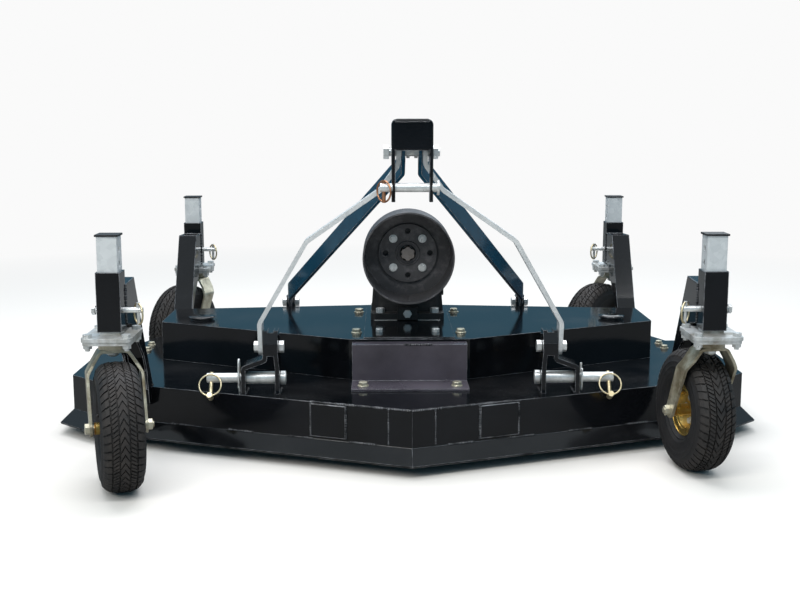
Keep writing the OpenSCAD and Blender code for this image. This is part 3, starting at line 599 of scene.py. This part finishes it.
bolts("gearbox_foot_bolts", deep_head, foot_spots, bright_zinc, "mower_frame")
frame_spots = [((x, -78, COVER_PLATE_TOP), UP, 0.95, spin) for x, spin in ((-72, 25), (66, 50))]
frame_spots.append((DRAIN_PLUG, FRONT, 1.16, 0))
for i in range(6):
    round_cap = math.radians(60 * i + 30)
    frame_spots.append(((CAP_CIRCLE * math.cos(round_cap), CAP_FACE,
                         SHAFT_HEIGHT + CAP_CIRCLE * math.sin(round_cap)), BACK, 0.9, 15 * i))
for side in (-1, 1):
    for way in (1, -1):
        frame_spots.append(((side * (LUG_MIDDLE + way * LUG_HALF), 366, 248), (side * way, 0, 0), 1.36, 30))
bolts("frame_bolts", hex_head, frame_spots, bright_zinc, "mower_frame")


# Caster hardware: the kingpin's lock nut, the wheel bolt's head and nut, turned brass bushes at the hub,
# and the bolts, rolled lips and valve of the pressed steel rim.
def wheel_place(corner):
    """The matrix from a wheel's own axle, along X, to its place under its caster."""
    joint = next(j for j in frame["joints"] if j["name"] == corner + "_wheel_spin")
    yaw = math.atan2(joint["axis"][1], joint["axis"][0])
    return Matrix.Translation(joint["pos_m"]) @ Matrix.Rotation(yaw, 4, "Z")


brass = zinc("turned_brass", "#c99a55", "#8d6430", 0.4, 0.95, 12.0, 0.28)
bush = lathe([(0.0094, 0.0462), (0.0128, 0.0462), (0.0132, 0.0468), (0.0132, 0.0490), (0.0126, 0.0497),
              (0.0094, 0.0497)], 32)
flip = Matrix.Scale(-1, 4, (1, 0, 0))


def hoop(radius, x, thick):
    """A rolled bead round the rim: radius and x in metres, thick its own radius."""
    return lathe([(radius + thick * math.cos(math.pi * k / 4), x + thick * math.sin(math.pi * k / 4))
                  for k in range(8)], 64)


rolled_lip = hoop(0.0562, -0.0281, 0.0015)
pressed_step = hoop(0.0448, -0.0243, 0.0013)
stem = stack([(3.6, 0), (3.6, 12), (2.6, 14), (2.6, 20), (3.0, 20.4), (3.0, 25), (2.4, 25.6)], 14)
stem_seat = Matrix.Translation((-0.021, -0.0302, 0.0302)) @ Matrix.Rotation(math.radians(-78), 4, "Y")
# in millimetres: the kingpin's lower end, the outer faces of the fork's legs, and the rim's circle of bolts
KINGPIN_END, HEAD_FACE, NUT_FACE = 283.2, 59.4, 58.6
RIM_CIRCLE, RIM_FACE = 26, 6.8
for corner in casters:
    place = wheel_place(corner)
    pivot = next(j for j in frame["joints"] if j["name"] == corner + "_swivel")["pos_m"]
    axle = Vector(place.translation) * 1000
    along = place.to_3x3() @ Vector((1, 0, 0))
    king_spot = ((pivot[0] * 1000, pivot[1] * 1000, KINGPIN_END), DOWN, 1.3, 0)
    bolts(corner + "_kingpin_nut", lock_nut, [king_spot], bright_zinc, corner + "_caster")
    axle_spots = [(axle + along * HEAD_FACE, along, 1.18, 30), (axle - along * NUT_FACE, -along, 1.18, 30)]
    bolts(corner + "_wheel_bolt", hex_head, axle_spots, pale_zinc, corner + "_caster")
    join_meshes(corner + "_bushes", [(bush, place), (bush, place @ flip)], brass, corner + "_caster",
                smooth=True)
    rim_spots = []
    for side in (-1, 1):
        for round_rim in [math.pi / 2 * k for k in range(4)]:
            spot = Vector((side * RIM_FACE, RIM_CIRCLE * math.cos(round_rim),
                           RIM_CIRCLE * math.sin(round_rim)))
            rim_spots.append((axle + place.to_3x3() @ spot, side * along, 0.66, 20))
    bolts(corner + "_rim_bolts", washered, rim_spots, bright_zinc, corner + "_wheel")
    rolled = [(ring, place @ turned) for ring in (rolled_lip, pressed_step) for turned in (Matrix(), flip)]
    join_meshes(corner + "_rim_rolls", rolled, gold_zinc, corner + "_wheel", smooth=True)
    join_meshes(corner + "_valve", [(stem, place @ stem_seat)], cap_plastic, corner + "_wheel",
                smooth=True)


# Wire clips: hairpins of spring wire through the hitch pins, and the brass-coloured snap rings of the
# height pins.
def wire(points, radius_mm, closed=False):
    """A round wire bent along smooth points, in millimetres."""
    curve = bpy.data.curves.new("wire", "CURVE")
    curve.dimensions = "3D"
    curve.bevel_depth, curve.bevel_resolution, curve.resolution_u = radius_mm / 1000, 4, 6
    curve.use_fill_caps = True
    line = curve.splines.new("NURBS")
    line.points.add(len(points) - 1)
    for knot, point in zip(line.points, points):
        knot.co = (*(Vector(point) / 1000), 1.0)
    line.order_u = 3
    line.use_endpoint_u = not closed
    line.use_cyclic_u = closed
    holder = bpy.data.objects.new("wire", curve)
    bpy.context.collection.objects.link(holder)
    bpy.context.view_layer.update()
    mesh = bpy.data.meshes.new_from_object(holder.evaluated_get(bpy.context.evaluated_depsgraph_get()))
    bpy.data.objects.remove(holder)
    return mesh


# side views of the two hairpins, in millimetres: place along the pull and height over the hitch pin. The
# left one stands over its pin and the right one hangs the other way up
hairpin = [(0, -33), (0, -10), (0, 12), (1, 26), (-1, 38), (-6, 45), (-12, 40), (-13, 28), (-12, 19),
           (-15, 11), (-17, 0), (-15, -10), (-12, -15), (-14, -21)]
hanging_hairpin = [(0, 33), (0, 10), (0, -14), (0.5, -22), (-3, -28.5), (-9, -28), (-12.5, -22),
                   (-14.5, -12), (-17, 0), (-15, 10), (-12, 15), (-14, 22)]
HAIRPIN_X, HITCH_Y, HITCH_Z, HAIRPIN_WIRE = 392, -270, 176, 2.62
clips = []
for x, shape in ((-HAIRPIN_X, hairpin), (HAIRPIN_X, hanging_hairpin)):
    clips.append((wire([(x, HITCH_Y + y, HITCH_Z + z) for y, z in shape], HAIRPIN_WIRE), Matrix()))
join_meshes("hairpin_clips", clips, bright_zinc, "mower_frame", smooth=True)
POST_PLACES = ((-630, -473), (630, -473), (-630, 600), (630, 600))
RING_OUT, RING_HEIGHT, RING_R, RING_WIRE, RING_LEAN = 56, 361, 22.2, 2.1, math.radians(35)
rings = []
for x, y in POST_PLACES:
    side = 1 if x < 0 else -1
    lean = RING_LEAN * side
    loop = []
    for k in range(20):
        a = 2 * math.pi * k / 20
        level = RING_R * math.cos(a)
        loop.append((x + side * RING_OUT - level * math.sin(lean), y + level * math.cos(lean),
                     RING_HEIGHT + RING_R * math.sin(a)))
    rings.append((wire(loop, RING_WIRE, closed=True), Matrix()))
join_meshes("snap_rings", rings, yellow_zinc, "mower_frame", smooth=True)


# Tyres: moulded rubber, a rounded carcass with chevron blocks in the middle, two rows of slanted blocks
# beside them and longer ones on the shoulders. One pitch of the tread repeats round the tyre.
def dusty_rubber():
    """Black rubber, brown with road dust on the tread and darker on the sidewalls."""
    material, tree, shader, coords = finish("moulded_tyre_rubber")
    grime = noise(tree, coords, 35, 6.0, 0.7).outputs["Fac"]
    fine = noise(tree, coords, 1.5, 3.0, 0.6).outputs["Fac"]
    worn = add(tree, "ShaderNodeAttribute", attribute_name="dust").outputs["Fac"]
    side = blend_colour(tree, ramp(tree, grime, 0.4, 0.75), "#111012", "#1e1c1b")
    tread = blend_colour(tree, ramp(tree, grime, 0.35, 0.7), "#1a1817", "#332e2b")
    tree.links.new(blend_colour(tree, worn, side, tread), shader.inputs["Base Color"])
    tree.links.new(ramp(tree, grime, 0.3, 0.7, 0.55, 0.8), shader.inputs["Roughness"])
    relief(tree, shader, fine, 0.15)
    return material


rubber = dusty_rubber()
TYRE_R, TYRE_HALF = 0.135, 0.044
# the carcass from its bead to the middle of the tread: (radius, place across the tyre)
carcass_profile = [(0.0574, -0.027), (0.0625, -0.0330), (0.0640, -0.0352), (0.0665, -0.0355),
                   (0.0680, -0.0366), (0.072, -0.0395), (0.084, -0.0428), (0.0925, -0.0434),
                   (0.0935, -0.0440), (0.0965, -0.0440), (0.0975, -0.0435), (0.1045, -0.0435),
                   (0.1055, -0.0440), (0.1075, -0.0436), (0.1085, -0.0428), (0.115, -0.0405),
                   (0.1235, -0.0340), (0.1285, -0.024), (0.1303, -0.012), (0.1306, 0.0)]
inside_profile = [(0.0574, 0.0252), (0.0524, 0.0222), (0.0504, 0.0), (0.0524, -0.0222), (0.0574, -0.0252)]


def wedge(outline, low, high, taper):
    """A block over an (x, along) outline, from radius low to radius high, narrower at its top."""
    mesh = bpy.data.meshes.new("lug")
    middle = Vector((sum(p[0] for p in outline), sum(p[1] for p in outline))) / len(outline)
    points = [(x, y, low) for x, y in outline]
    points += [(middle.x + (x - middle.x) * taper, middle.y + (y - middle.y) * taper, high(x))
               for x, y in outline]
    n = len(outline)
    faces = [tuple(range(n - 1, -1, -1)), tuple(range(n, 2 * n))]
    faces += [(i, (i + 1) % n, n + (i + 1) % n, n + i) for i in range(n)]
    mesh.from_pydata(points, [], faces)
    mesh.update()
    return mesh


def crown(x):
    """Radius of the tread's surface at a place across the tyre."""
    return TYRE_R - 0.0008 - 0.020 * (abs(x) / TYRE_HALF) ** 4


tread_tree, tread_given = geometry_tree("blocks_round_a_tyre", Block="Object", Count="Int")
block = add(tread_tree, "GeometryNodeObjectInfo", {"Object": tread_given.outputs["Block"]})
spots = add(tread_tree, "GeometryNodePoints", {"Count": tread_given.outputs["Count"]})
step = add(tread_tree, "ShaderNodeMath", {0: 2 * math.pi, 1: tread_given.outputs["Count"]},
           operation="DIVIDE")
block_turn = add(tread_tree, "ShaderNodeMath", {0: add(tread_tree, "GeometryNodeInputIndex").outputs[0],
                                                1: step.outputs[0]}, operation="MULTIPLY")
angles = add(tread_tree, "ShaderNodeCombineXYZ", {"X": block_turn.outputs[0]})
blocks = add(tread_tree, "GeometryNodeInstanceOnPoints", {"Points": spots.outputs[0],
                                                          "Instance": block.outputs["Geometry"],
                                                          "Rotation": angles.outputs[0]})
close_tree(tread_tree, blocks, rubber)

full_profile = carcass_profile + [(r, -x) for r, x in reversed(carcass_profile[:-1])] + inside_profile
carcass = lathe(full_profile, 96)
PITCH_COUNT = 46
# one pitch of the tread, right of the middle line: outlines of (across, along) in metres
shoulder_block = wedge([(0.0252, -0.0035), (0.0330, -0.0068), (0.0405, -0.0098), (0.0405, 0.0040),
                        (0.0330, 0.0078), (0.0252, 0.0112)], 0.113, crown, 0.93)
low_block = wedge([(0.0112, 0.0040), (0.0232, -0.0052), (0.0232, 0.0014), (0.0112, 0.0104)],
                  0.122, crown, 0.9)
high_block = wedge([(0.0112, 0.0122), (0.0232, 0.0032), (0.0232, 0.0098), (0.0112, 0.0188)],
                   0.122, crown, 0.9)
centre_block = wedge([(-0.0094, -0.0098), (0.0, 0.0062), (0.0094, -0.0098), (0.0094, 0.0048), (0.0, 0.0212),
                      (-0.0094, 0.0048)], 0.124, crown, 0.93)
tread_rings = []
for form in (shoulder_block, low_block, high_block, centre_block):
    block_object = lend(form)
    ring = evaluate(tread_tree, {"Block": block_object, "Count": PITCH_COUNT})
    bpy.data.objects.remove(block_object)
    tread_rings.append((ring, Matrix()))
    if form is not centre_block:
        tread_rings.append((ring, flip))
DUSTY_FROM, DUSTY_OVER = 0.112, 0.012
for corner in casters:
    place = wheel_place(corner)
    parts = [(carcass, place)] + [(ring, place @ turned) for ring, turned in tread_rings]
    tyre = join_meshes(corner + "_tread_tyre", parts, rubber, corner + "_wheel")
    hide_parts(corner + "_tyre")
    # how much road dust a place holds: all on the tread, little low on the sidewall
    dust = tyre.data.attributes.new("dust", "FLOAT", "POINT")
    back = place.inverted()
    for i, vertex in enumerate(tyre.data.vertices):
        spot = back @ vertex.co
        dust.data[i].value = min(1.0, max(0.0, (math.hypot(spot.y, spot.z) - DUSTY_FROM) / DUSTY_OVER))
